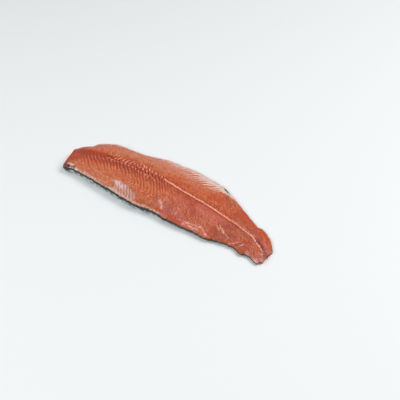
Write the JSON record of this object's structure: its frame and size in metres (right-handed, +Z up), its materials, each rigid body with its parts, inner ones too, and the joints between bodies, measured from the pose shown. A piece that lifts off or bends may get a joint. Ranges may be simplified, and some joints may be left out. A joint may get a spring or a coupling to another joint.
{
  "type": "raw salmon fillet",
  "caption": "Whole side of raw salmon, boned, lying skin side down: long tapering orange flesh with a pale seam and chevron fat lines, over a dark skin that shows along the back edge.",
  "frame": {"origin": "middle of the fillet's box, on the surface that the skin rests on", "axes": "+X from the head end to the tail, +Y from the back edge to the belly edge, +Z up out of the flesh side"},
  "size_m": [0.532, 0.1606, 0.035],
  "materials": {
    "flesh": "moist raw fish flesh, orange, satin with wet highlights",
    "skin": "wet fish skin, charcoal with a silvery sheen and small scales"
  },
  "bodies": {
    "root": {"flesh": "flesh", "skin": "skin"}
  },
  "joints": []
}
